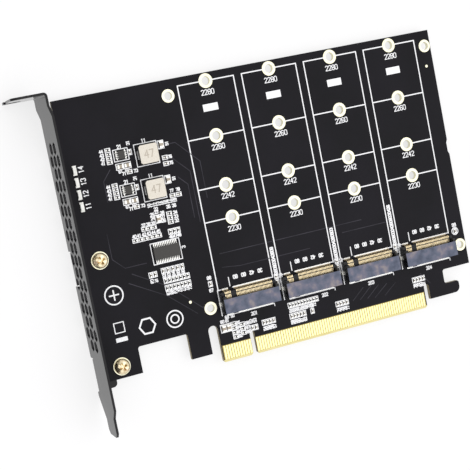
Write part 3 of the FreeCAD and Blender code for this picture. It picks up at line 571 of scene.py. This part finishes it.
epoxy = moulded_epoxy()
for chip in ("regulator_1", "regulator_2", "clock_buffer"):
    finish_node(chip, epoxy)
LEAD_LAND_PAST = 0.55 * MM
LEAD_LAND_HALF = 0.19 * MM
lead_lands = bmesh.new()
for chip, leads in (("regulator_1", "regulator_leads_1"), ("regulator_2", "regulator_leads_2"),
                    ("clock_buffer", "clock_buffer_leads")):
    finish_node(leads, tin)
    chip_low, chip_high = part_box(chip)
    for low, high in solid_boxes(leads):
        middle = (low + high) / 2
        outward = 1 if middle.y > (chip_low.y + chip_high.y) / 2 else -1
        toe = high.y if outward > 0 else low.y
        ends = sorted((toe - outward * PAD_UNDER_FOOT, toe + outward * LEAD_LAND_PAST))
        add_slab(lead_lands, (middle.x - LEAD_LAND_HALF, ends[0], FACE),
                 (middle.x + LEAD_LAND_HALF, ends[1], FACE + PAD_LIFT))
new_piece("lead_lands", lead_lands, tin, "tin_plate")

# ---------------------------------------------------------------- chip resistors and capacitors
# Ceramic blocks with tinned end caps, each soldered to two lands.  Resistors carry a black glaze,
# capacitors are bare grey-tan ceramic.

CAP_SHARE = 0.24            # of a chip's length under each end cap
CAP_PROUD = 0.02 * MM
LAND_PAST = 0.28 * MM       # solder land left showing past each end of a chip


def end_caps(mesh_work, low, high):
    """Two tinned caps round a chip's ends, a hair proud of the ceramic."""
    axis = 0 if high.x - low.x > high.y - low.y else 1
    length = (high[axis] - low[axis]) * CAP_SHARE
    proud = Vector((CAP_PROUD, CAP_PROUD, CAP_PROUD))
    for start, end in ((low[axis], low[axis] + length), (high[axis] - length, high[axis])):
        cap_low, cap_high = low - proud, high + proud
        cap_low.z = low.z
        cap_low[axis] = start - (CAP_PROUD if start == low[axis] else 0)
        cap_high[axis] = end + (CAP_PROUD if end == high[axis] else 0)
        add_slab(mesh_work, cap_low, cap_high)


def solder_lands(mesh_work, low, high):
    """The two lands that a chip is soldered to."""
    axis = 0 if high.x - low.x > high.y - low.y else 1
    reach = (high[axis] - low[axis]) * CAP_SHARE
    ends = ((low[axis] - LAND_PAST, low[axis] + reach), (high[axis] - reach, high[axis] + LAND_PAST))
    for start, end in ends:
        land_low, land_high = low.copy(), high.copy()
        land_low[axis], land_high[axis] = start, end
        land_low.z, land_high.z = FACE, FACE + PAD_LIFT
        add_slab(mesh_work, land_low, land_high)


# Fired ceramic, half glossy and faintly mottled: black under the resistors' glaze, and bare grey-tan.
CERAMICS = (("chip_resistors", "glazed_resistor", "#17171a", "#242327"),
            ("chip_capacitors", "chip_capacitor_ceramic", "#7c7367", "#989085"),
            ("power_capacitors", "power_capacitor_ceramic", "#9c9080", "#bab0a0"))
chip_boxes = []
for node, ceramic, dark, pale in CERAMICS:
    finish_node(node, grained(ceramic, 0.4 * MM, 2.0, ((0.3, dark), (0.7, pale)), 0.4))
    chip_boxes += solid_boxes(node)
caps = bmesh.new()
lands = bmesh.new()
for low, high in chip_boxes:
    end_caps(caps, low, high)
    solder_lands(lands, low, high)
new_piece("solder_lands", lands, tin, "tin_plate")
new_piece("chip_end_caps", caps, tin, "tin_plate")

# ---------------------------------------------------------------- status lamps
# White moulded lamps by the bracket, one for each drive.

LAMP_LAND = 0.5 * MM
LAND_END = 0.1 * MM         # land showing past a lamp's ends, and past its sides
LAND_SIDE = 0.125 * MM
# Translucent white moulding, a little milky.
lamp_white = grained("lamp_plastic", 1.0 * MM, 2.0, ((0.3, "#e8e8e2"), (0.7, "#fbfbf7")), 0.35)
lamp_lands = bmesh.new()
for number in range(1, 5):
    finish_node(f"status_lamp_{number}", lamp_white)
    low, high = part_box(f"status_lamp_{number}")
    ends = ((low.y - LAND_END, low.y + LAMP_LAND), (high.y - LAMP_LAND, high.y + LAND_END))
    for start, end in ends:
        add_slab(lamp_lands, (low.x - LAND_SIDE, start, FACE),
                 (high.x + LAND_SIDE, end, FACE + PAD_LIFT))
new_piece("lamp_lands", lamp_lands, tin, "tin_plate")

# ---------------------------------------------------------------- printed lines and numbers
# White epoxy ink, screened on the mask: the drives' outlines and lengths, a box round each part and
# its number, and plain marks by the bracket.

INK = 0.03 * MM
INK_LAYER = 0.001 * MM      # lines that cross differ in height by a layer or more
INK_LAYERS = 17
LINE_END = 0.8              # how far a line runs past its two ends together, in its own widths
LINE = 0.42 * MM
FINE_LINE = 0.3 * MM

# Each figure's strokes, as points on a grid four wide and six high.
STROKES = {
    "0": ((1, 0), (3, 0), (4, 1), (4, 5), (3, 6), (1, 6), (0, 5), (0, 1), (1, 0)),
    "1": ((1, 5), (2, 6), (2, 0)),
    "2": ((0, 5), (1, 6), (3, 6), (4, 5), (4, 4), (0, 0), (4, 0)),
    "3": ((0, 5), (1, 6), (3, 6), (4, 5), (4, 4), (3, 3), (4, 2), (4, 1), (3, 0), (1, 0), (0, 1)),
    "4": ((3, 0), (3, 6), (0, 2), (4, 2)),
    "5": ((4, 6), (0, 6), (0, 3.5), (3, 3.5), (4, 2.5), (4, 1), (3, 0), (1, 0), (0, 1)),
    "6": ((4, 5), (3, 6), (1, 6), (0, 5), (0, 1), (1, 0), (3, 0), (4, 1), (4, 2), (3, 3), (0, 3)),
    "7": ((0, 6), (4, 6), (1.5, 0)),
    "8": ((1, 3), (0, 4), (0, 5), (1, 6), (3, 6), (4, 5), (4, 4), (3, 3), (1, 3), (0, 2), (0, 1), (1, 0),
          (3, 0), (4, 1), (4, 2), (3, 3)),
    "9": ((0, 1), (1, 0), (3, 0), (4, 1), (4, 5), (3, 6), (1, 6), (0, 5), (0, 4), (1, 3), (4, 3)),
}
GRID_WIDE = 4
GRID_HIGH = 6
CIRCLE_STEPS = 40
FIGURE_STEP = 5.4           # from one figure to the next, on the same grid
FIGURE_NARROW = 0.82        # figures are set a little narrower than the grid
STROKE = 0.31 * MM          # width of a small figure's strokes
THIN_STROKE = 0.28 * MM
BOLD_STROKE = 0.36 * MM


def ink_line(mesh_work, start, end, width, face=FACE):
    """A straight printed line between two (x, y) places."""
    start, end = Vector((*start, 0)), Vector((*end, 0))
    run = end - start
    lines_so_far = len(mesh_work.faces) // 6
    high = INK + lines_so_far % INK_LAYERS * INK_LAYER
    middle = (start + end) / 2 + Vector((0, 0, face + high / 2))
    turn = Matrix.Rotation(math.atan2(run.y, run.x), 4, "Z")
    size = Matrix.Diagonal((run.length + width * LINE_END, width, high, 1))
    bmesh.ops.create_cube(mesh_work, size=1, matrix=Matrix.Translation(middle) @ turn @ size)


def ink_path(mesh_work, points, width, closed=False):
    """Printed lines from point to point."""
    for index in range(0 if closed else 1, len(points)):
        ink_line(mesh_work, points[index - 1], points[index], width)


def ink_frame(mesh_work, low, high, width):
    """Four lines round a box."""
    corners = [(low[0], low[1]), (high[0], low[1]), (high[0], high[1]), (low[0], high[1])]
    ink_path(mesh_work, corners, width, closed=True)


def ink_block(mesh_work, place, size):
    """A solid printed rectangle, centred on an (x, y) place."""
    half = Vector(size) / 2
    add_slab(mesh_work, (*(Vector(place) - half), FACE), (*(Vector(place) + half), FACE + INK))


def ink_figures(mesh_work, number, place, height, quarters=0, stroke=STROKE, face=FACE):
    """A printed number, centred on an (x, y) place, turned by quarters anticlockwise."""
    words = str(number)
    grid = height / GRID_HIGH
    start = -((len(words) - 1) * FIGURE_STEP + GRID_WIDE) / 2
    narrow = Matrix.Diagonal((FIGURE_NARROW, 1))
    turn = Matrix.Rotation(quarters * math.pi / 2, 2)
    for index, figure in enumerate(words):
        left = start + index * FIGURE_STEP
        points = [Vector(place) + turn @ narrow @ Vector((left + x, y - GRID_HIGH / 2)) * grid
                  for x, y in STROKES[figure]]
        for first, second in zip(points, points[1:]):
            ink_line(mesh_work, first, second, stroke, face)


def ink_ring(mesh_work, place, radius, width):
    """A printed circle line."""
    profile = [(radius - width / 2, FACE), (radius + width / 2, FACE),
               (radius + width / 2, FACE + INK), (radius - width / 2, FACE + INK)]
    turned(mesh_work, profile, Vector((*place, 0)), CIRCLE_STEPS)


def on_board(across, up):
    """A place in millimetres from the board's left edge and its lowest edge."""
    return (board_low.x + across * MM, board_low.y + up * MM)


# Opaque white ink, chalky, with slightly thin patches.
ink = grained("screen_ink", 0.5 * MM, 3.0, ((0.25, "#e6e6ea"), (0.5, "#fbfbfd")), 0.6)

# Drive outlines: two long lines a drive, a line to each fixing ring, and its length in millimetres
# after the drive's width.
HALF_DRIVE = 10.9 * MM
DRIVE_LENGTHS = (30, 42, 60, 80)
FRAME_START = 5.0 * MM
FRAME_END = 80 * MM
FIGURE_HEIGHT = 1.75 * MM
FIGURE_DROP = {80: 4.1 * MM, 60: 4.0 * MM, 42: 3.9 * MM, 30: 4.0 * MM}
BLANK_LABEL = (5.8 * MM, 2.6 * MM)
BLANK_LABEL_UP = 70.4 * MM
drive_lines = bmesh.new()
drive_figures = bmesh.new()
for place in drive_data:
    for side in (-1, 1):
        edge = place.x + side * HALF_DRIVE
        ink_line(drive_lines, (edge, place.y + FRAME_START), (edge, place.y + FRAME_END), LINE)
    for length in DRIVE_LENGTHS:
        row = place.y + length * MM
        for side in (-1, 1):
            ink_line(drive_lines, (place.x + side * HALF_DRIVE, row),
                     (place.x + side * RING_OUTER, row), LINE)
        ink_figures(drive_figures, f"22{length}", (place.x, row - FIGURE_DROP[length]), FIGURE_HEIGHT,
                    stroke=THIN_STROKE)
    ink_block(drive_lines, (place.x, place.y + BLANK_LABEL_UP), BLANK_LABEL)
new_piece("drive_outlines", drive_lines, ink, "board")
new_piece("drive_figures", drive_figures, ink, "board")

# A box round every soldered part.
CHIP_MARGIN = 0.42 * MM
PART_MARGIN = 0.6 * MM
part_frames = bmesh.new()
for low, high in chip_boxes:
    margin = Vector((CHIP_MARGIN, CHIP_MARGIN, 0))
    ink_frame(part_frames, low - margin, high + margin, FINE_LINE)
for node, leads in (("inductor_1", "inductor_terminals_1"), ("inductor_2", "inductor_terminals_2"),
                    ("regulator_1", "regulator_leads_1"), ("regulator_2", "regulator_leads_2"),
                    ("clock_buffer", "clock_buffer_leads")):
    corners = [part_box(node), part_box(leads)]
    low = [min(box[0][axis] for box in corners) - PART_MARGIN for axis in (0, 1)]
    high = [max(box[1][axis] for box in corners) + PART_MARGIN for axis in (0, 1)]
    ink_frame(part_frames, low, high, FINE_LINE)
new_piece("part_frames", part_frames, ink, "board")

# Part numbers, by bank: the first number's place in millimetres across and up the board, columns and
# rows, the steps between them, the figures' height, their quarter turns, and the first number.
STAGE_NUMBERS = [
    (20.7, 84.2, 1, 1, 0, 0, 1.2, 0, 21), (29.9, 84.6, 1, 1, 0, 0, 1.2, 0, 11),
    (24.1, 84.9, 1, 1, 0, 0, 1.05, 1, 31), (13.9, 79.5, 1, 4, 0, 1.4, 1.0, 0, 41),
    (38.2, 82.0, 1, 1, 0, 0, 1.0, 1, 51), (19.5, 75.6, 2, 1, 2.5, 0, 1.05, 0, 61),
    (20.6, 74.6, 1, 1, 0, 0, 1.05, 0, 71), (25.0, 74.8, 1, 1, 0, 0, 1.05, 0, 73),
]
CARD_NUMBERS = [
    (38.4, 75.0, 1, 2, 0, 2.2, 1.0, 0, 75), (36.5, 65.2, 2, 1, 2.4, 0, 1.0, 0, 77),
    (27.2, 61.6, 10, 1, 1.1, 0, 1.0, 1, 10), (29.4, 60.0, 1, 1, 0, 0, 1.05, 0, 22),
    (29.3, 58.9, 1, 1, 0, 0, 1.0, 0, 23), (27.6, 57.0, 1, 2, 0, 1.3, 1.05, 0, 24),
    (31.4, 55.4, 1, 3, 0, 1.4, 1.05, 0, 26), (36.2, 54.4, 1, 3, 0, 1.5, 1.05, 0, 32),
    (34.1, 59.9, 2, 1, 2.2, 0, 1.05, 0, 35), (23.7, 55.3, 3, 1, 1.8, 0, 1.05, 0, 37),
    (19.6, 52.1, 6, 1, 1.8, 0, 1.05, 0, 40), (33.0, 49.2, 3, 1, 1.5, 0, 1.05, 0, 46),
    (36.7, 44.6, 1, 1, 0, 0, 1.2, 1, 3), (22.7, 35.2, 2, 1, 1.6, 0, 1.0, 1, 60),
    (27.5, 36.0, 5, 1, 1.8, 0, 1.05, 1, 62), (27.7, 29.8, 7, 1, 1.4, 0, 1.05, 1, 67),
    (45.5, 14.7, 2, 1, 1.9, 0, 1.0, 0, 80), (51.4, 8.2, 1, 4, 0, 1.6, 1.05, 0, 82),
    (54.9, 8.9, 1, 3, 0, 1.6, 1.05, 0, 86), (47.6, 16.0, 2, 1, 2.2, 0, 1.0, 0, 89),
    (56.5, 12.3, 2, 1, 1.5, 0, 1.05, 1, 52), (61.3, 8.4, 4, 1, 1.3, 0, 1.05, 1, 54),
    (72.6, 12.3, 9, 1, 1.22, 0, 1.0, 1, 64), (72.5, 8.0, 5, 1, 1.3, 0, 1.05, 1, 58),
    (81.1, 12.3, 1, 1, 0, 0, 1.05, 1, 63), (91.6, 8.0, 4, 1, 1.3, 0, 1.05, 1, 74),
    (124.9, 9.4, 4, 1, 1.3, 0, 1.05, 1, 78),
    (71.3, 22.0, 1, 3, 0, 2.0, 1.05, 1, 91), (96.3, 22.0, 1, 3, 0, 2.0, 1.05, 1, 94),
    (121.3, 22.0, 1, 3, 0, 2.0, 1.05, 1, 97),
    (5.6, 66.2, 1, 4, 0, 4.3, 1.7, 1, 11), (146.1, 28.6, 1, 1, 0, 0, 1.2, 0, 99),
    (43.8, 26.9, 1, 2, 0, 4.6, 1.1, 0, 87),
]
STAGE_DROP = 12.6           # the second power stage is this far below the first


def number_bank(mesh_work, bank, drop=0):
    """Print one bank of part numbers."""
    across, up, columns, rows, step_across, step_up, height, quarters, first = bank
    for column in range(columns):
        for row in range(rows):
            place = on_board(across + column * step_across, up - drop + row * step_up)
            ink_figures(mesh_work, first + column * rows + row, place, height * MM, quarters)


stage_numbers = bmesh.new()
for bank in STAGE_NUMBERS:
    number_bank(stage_numbers, bank)
    number_bank(stage_numbers, bank, STAGE_DROP)
new_piece("stage_numbers", stage_numbers, ink, "board")
card_numbers = bmesh.new()
for bank in CARD_NUMBERS:
    number_bank(card_numbers, bank)
new_piece("card_numbers", card_numbers, ink, "board")

# Round each socket: an angle at its left, short joins and a bar at its front, a line behind it with
# the socket's own number, the drive lengths it takes in front, and figures between the drives.
# Lines are in millimetres from the socket's datum.
SOCKET_LINES = (((-11.2, -4.2), (-11.2, 5.1), (-9.8, 5.1)), ((9.5, 5.1), (10.9, 5.1)),
                ((-5.2, 5.1), (8.7, 5.1)), ((-6.1, 5.7), (-6.1, 8.9)))
SOCKET_LINE = 0.35 * MM
BACK_LINE = ((-9.0, -4.55), (9.6, -4.55), (9.6, -5.45))
LENGTHS_START = (-3.4, 8.6)
LENGTHS_STEP = 3.3
LENGTHS_HEIGHT = 1.2 * MM
HALF_TURN = 2
FIRST_SOCKET = 201
SOCKET_NUMBER_UP = 14.9
SOCKET_NUMBER_ACROSS = (58.3, 87.3, 106.9, 132.2)
SMALL_FIGURE = 1.15 * MM
COLUMN_START = (-12.5, 3.2)
COLUMN_NUMBERS = ("304260803042608", "30426080304260803", "304260803042608030426")
socket_marks = bmesh.new()
for number, datum in enumerate(drive_data):
    for run in SOCKET_LINES:
        ink_path(socket_marks, [datum.xy + Vector(spot) * MM for spot in run], SOCKET_LINE)
    ink_path(socket_marks, [datum.xy + Vector(spot) * MM for spot in BACK_LINE], FINE_LINE)
    for index, length in enumerate(reversed(DRIVE_LENGTHS)):
        spot = datum.xy + (Vector(LENGTHS_START) + Vector((index * LENGTHS_STEP, 0))) * MM
        ink_figures(socket_marks, length, spot, LENGTHS_HEIGHT, HALF_TURN, BOLD_STROKE)
    spot = on_board(SOCKET_NUMBER_ACROSS[number], SOCKET_NUMBER_UP)
    ink_figures(socket_marks, FIRST_SOCKET + number, spot, SMALL_FIGURE)
for datum, column in zip(drive_data[1:], COLUMN_NUMBERS):
    half_column = len(column) * FIGURE_STEP * FIGURE_NARROW * SMALL_FIGURE / GRID_HIGH / 2
    spot = datum.xy + Vector(COLUMN_START) * MM + Vector((0, half_column))
    ink_figures(socket_marks, column, spot, SMALL_FIGURE, 1, BOLD_STROKE)
CORNER_CHIP = (146.1, 26.2)
CORNER_RING = 1.35 * MM
ink_ring(socket_marks, on_board(*CORNER_CHIP), CORNER_RING, FINE_LINE)
new_piece("socket_marks", socket_marks, ink, "board")

# Plain marks by the bracket, bare of words: a ring with a plus, a square over a bar, a hexagon, and
# one ring inside another.
MARK_LINE = 0.5 * MM
PLUS_PLACE = (8.0, 33.6)
PLUS_RING = 3.3 * MM
PLUS_ARM = 1.7 * MM
SQUARE_PLACE = (7.5, 22.0)
HALF_SQUARE = 1.8 * MM
BAR_PLACE = (7.6, 17.7)
BAR = (4.3 * MM, 1.5 * MM)
HEXAGON_PLACE = (17.7, 20.1)
HEXAGON_RADIUS = 3.0 * MM
HEXAGON_LINE = 0.6 * MM
RINGS_PLACE = (28.2, 20.1)
RING_RADII = (3.0 * MM, 1.5 * MM)
plain_marks = bmesh.new()
plus_place = Vector(on_board(*PLUS_PLACE))
ink_ring(plain_marks, plus_place, PLUS_RING, MARK_LINE)
for arm in (Vector((PLUS_ARM, 0)), Vector((0, PLUS_ARM))):
    ink_line(plain_marks, plus_place - arm, plus_place + arm, MARK_LINE)
square_place = Vector(on_board(*SQUARE_PLACE))
corner = Vector((HALF_SQUARE, HALF_SQUARE))
ink_frame(plain_marks, square_place - corner, square_place + corner, SOCKET_LINE)
ink_block(plain_marks, on_board(*BAR_PLACE), BAR)
hexagon_place = Vector(on_board(*HEXAGON_PLACE))
hexagon = [hexagon_place + Vector((math.cos(turn), math.sin(turn))) * HEXAGON_RADIUS
           for turn in (index * math.tau / 6 for index in range(6))]
ink_path(plain_marks, hexagon, HEXAGON_LINE, closed=True)
for radius in RING_RADII:
    ink_ring(plain_marks, on_board(*RINGS_PLACE), radius, MARK_LINE)
new_piece("plain_marks", plain_marks, ink, "board")

# Copper traces under the mask, barely raised, as (across, up) places in millimetres.
TRACE = 0.28 * MM
TRACE_RUNS = (
    ((38.4, 81.7), (41.3, 81.7), (44.2, 78.7), (49.2, 73.4), (49.2, 60.0)),
    ((39.1, 76.5), (44.8, 70.6), (44.8, 52.0)), ((39.9, 69.4), (43.0, 66.2), (43.0, 54.0)),
    ((15.8, 76.9), (12.7, 73.3), (12.7, 66.0)), ((10.0, 55.0), (10.0, 46.0), (14.0, 42.0), (22.0, 42.0)),
    ((16.0, 39.4), (28.1, 32.2), (39.7, 21.3)), ((14.2, 36.4), (27.0, 29.0), (37.0, 20.0)),
    ((49.6, 39.1), (107.6, 39.1)), ((49.6, 34.1), (56.4, 33.2), (84.8, 33.2)),
    ((99.0, 36.0), (118.0, 36.0)),
    ((98.2, 10.0), (103.2, 13.9)), ((101.2, 9.7), (106.5, 13.7)), ((104.3, 9.4), (109.6, 13.4)),
    ((107.4, 9.0), (113.2, 13.1)), ((111.7, 8.9), (117.0, 12.7)), ((128.0, 13.4), (131.5, 9.0)),
)
traces = bmesh.new()
for run in TRACE_RUNS:
    ink_path(traces, [on_board(across, up) for across, up in run], TRACE)
# Black mask over copper: the board's colour, a little paler and smoother.
copper = grained("masked_copper", 6 * MM, 2.0, ((0.3, "#242329"), (0.7, "#403e46")), 0.4, specular=0.12)
new_piece("masked_traces", traces, copper, "board")

# A plain number on each coil, in worn grey ink.
COIL_NUMBER = 47
COIL_FIGURE = 2.6 * MM
coil_numbers = bmesh.new()
for coil in (1, 2):
    low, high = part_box(f"inductor_{coil}")
    middle = (low + high) / 2
    ink_figures(coil_numbers, COIL_NUMBER, middle.xy, COIL_FIGURE, stroke=BOLD_STROKE, face=high.z)
# Grey-brown ink on the top of a coil, thin and a little patchy.
faded_ink = grained("faded_ink", 0.4 * MM, 3.0, ((0.3, "#b5ab9e"), (0.7, "#c8bfb1")), 0.7)
new_piece("coil_numbers", coil_numbers, faded_ink, "inductor_block")

# ---------------------------------------------------------------- floor, light and camera
# White paper under the card, one soft box overhead in an evenly white room, and a camera that looks
# down on the component side.

scene = bpy.context.scene
scene.view_settings.view_transform = "Standard"

FLOOR_HALF = 3.0
floor_work = bmesh.new()
bmesh.ops.create_grid(floor_work, x_segments=1, y_segments=1, size=FLOOR_HALF)
floor_mesh = bpy.data.meshes.new("floor")
floor_work.to_mesh(floor_mesh)
floor_work.free()
floor = bpy.data.objects.new("floor", floor_mesh)
scene.collection.objects.link(floor)


def seen_by_eye_or_mirror(tree_owner):
    """1 for rays from the eye, a mirror or a clear part, and 0 for the light that falls on the card."""
    path = add_node(tree_owner, "ShaderNodeLightPath")
    direct = add_node(tree_owner, "ShaderNodeMath", {"operation": "MAXIMUM"}, {
        0: path.outputs["Is Camera Ray"], 1: path.outputs["Is Glossy Ray"]})
    return add_node(tree_owner, "ShaderNodeMath", {"operation": "MAXIMUM"}, {
        0: direct.outputs[0], 1: path.outputs["Is Transmission Ray"]})


FLOOR_GLOW = 0.74           # how far the paper is lifted to white, leaving a soft shadow


def white_paper():
    """Seamless white paper, with the card's shadow softened as light comes through from below."""
    material = bpy.data.materials.new("white_paper")
    material.use_nodes = True
    material.node_tree.nodes.clear()
    paper = add_node(material, "ShaderNodeBsdfDiffuse", inputs={"Color": linear("#fbfafc")})
    glow = add_node(material, "ShaderNodeEmission", inputs={"Color": (1, 1, 1, 1), "Strength": 1.0})
    seen = seen_by_eye_or_mirror(material)
    share = add_node(material, "ShaderNodeMath", {"operation": "MULTIPLY"}, {
        0: seen.outputs[0], 1: FLOOR_GLOW})
    mix = add_node(material, "ShaderNodeMixShader", inputs={
        0: share.outputs[0], 1: paper.outputs[0], 2: glow.outputs[0]})
    add_node(material, "ShaderNodeOutputMaterial", inputs={"Surface": mix.outputs[0]})
    return material


floor_mesh.materials.append(white_paper())
floor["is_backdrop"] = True

ROOM_LIGHT = 0.96
world = bpy.data.worlds.new("studio")
world.use_nodes = True
scene.world = world
backdrop = world.node_tree.nodes["Background"]
backdrop.inputs["Color"].default_value = (1, 1, 1, 1)
room = add_node(world, "ShaderNodeMapRange", inputs={
    "Value": seen_by_eye_or_mirror(world).outputs[0], "To Min": ROOM_LIGHT, "To Max": 1.0})
world.node_tree.links.new(room.outputs[0], backdrop.inputs["Strength"])


def soft_light(name, place, aim, size, watts):
    """A square soft box pointed at a place on the card."""
    lamp = bpy.data.lights.new(name, "AREA")
    lamp.size = size
    lamp.energy = watts
    holder = bpy.data.objects.new(name, lamp)
    scene.collection.objects.link(holder)
    holder.location = place
    holder.rotation_euler = (Vector(aim) - Vector(place)).to_track_quat("-Z", "Y").to_euler()


soft_light("overhead_box", place=(0.32, -0.08, 0.8), aim=(0, 0, 0), size=0.75, watts=1.8)

CAMERA_PLACE = Vector((-0.1534, 0.04005, 0.38504))
CAMERA_AIM = Vector((-0.03891, 0.00565, 0.00402))
CAMERA_TURN = math.radians(11.54)
camera = bpy.data.cameras.new("camera")
camera.sensor_width = 36
camera.lens = 86.22
camera.shift_x = 0.1677
camera.shift_y = -0.0091
viewer = bpy.data.objects.new("camera", camera)
scene.collection.objects.link(viewer)
look = (CAMERA_AIM - CAMERA_PLACE).normalized()
side = look.cross(Vector((0, 1, 0))).normalized()
top = side.cross(look)
top = Matrix.Rotation(CAMERA_TURN, 3, look) @ top
side = look.cross(top)
viewer.matrix_world = Matrix.Translation(CAMERA_PLACE) @ Matrix((side, top, -look)).transposed().to_4x4()
scene.camera = viewer

low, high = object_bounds()
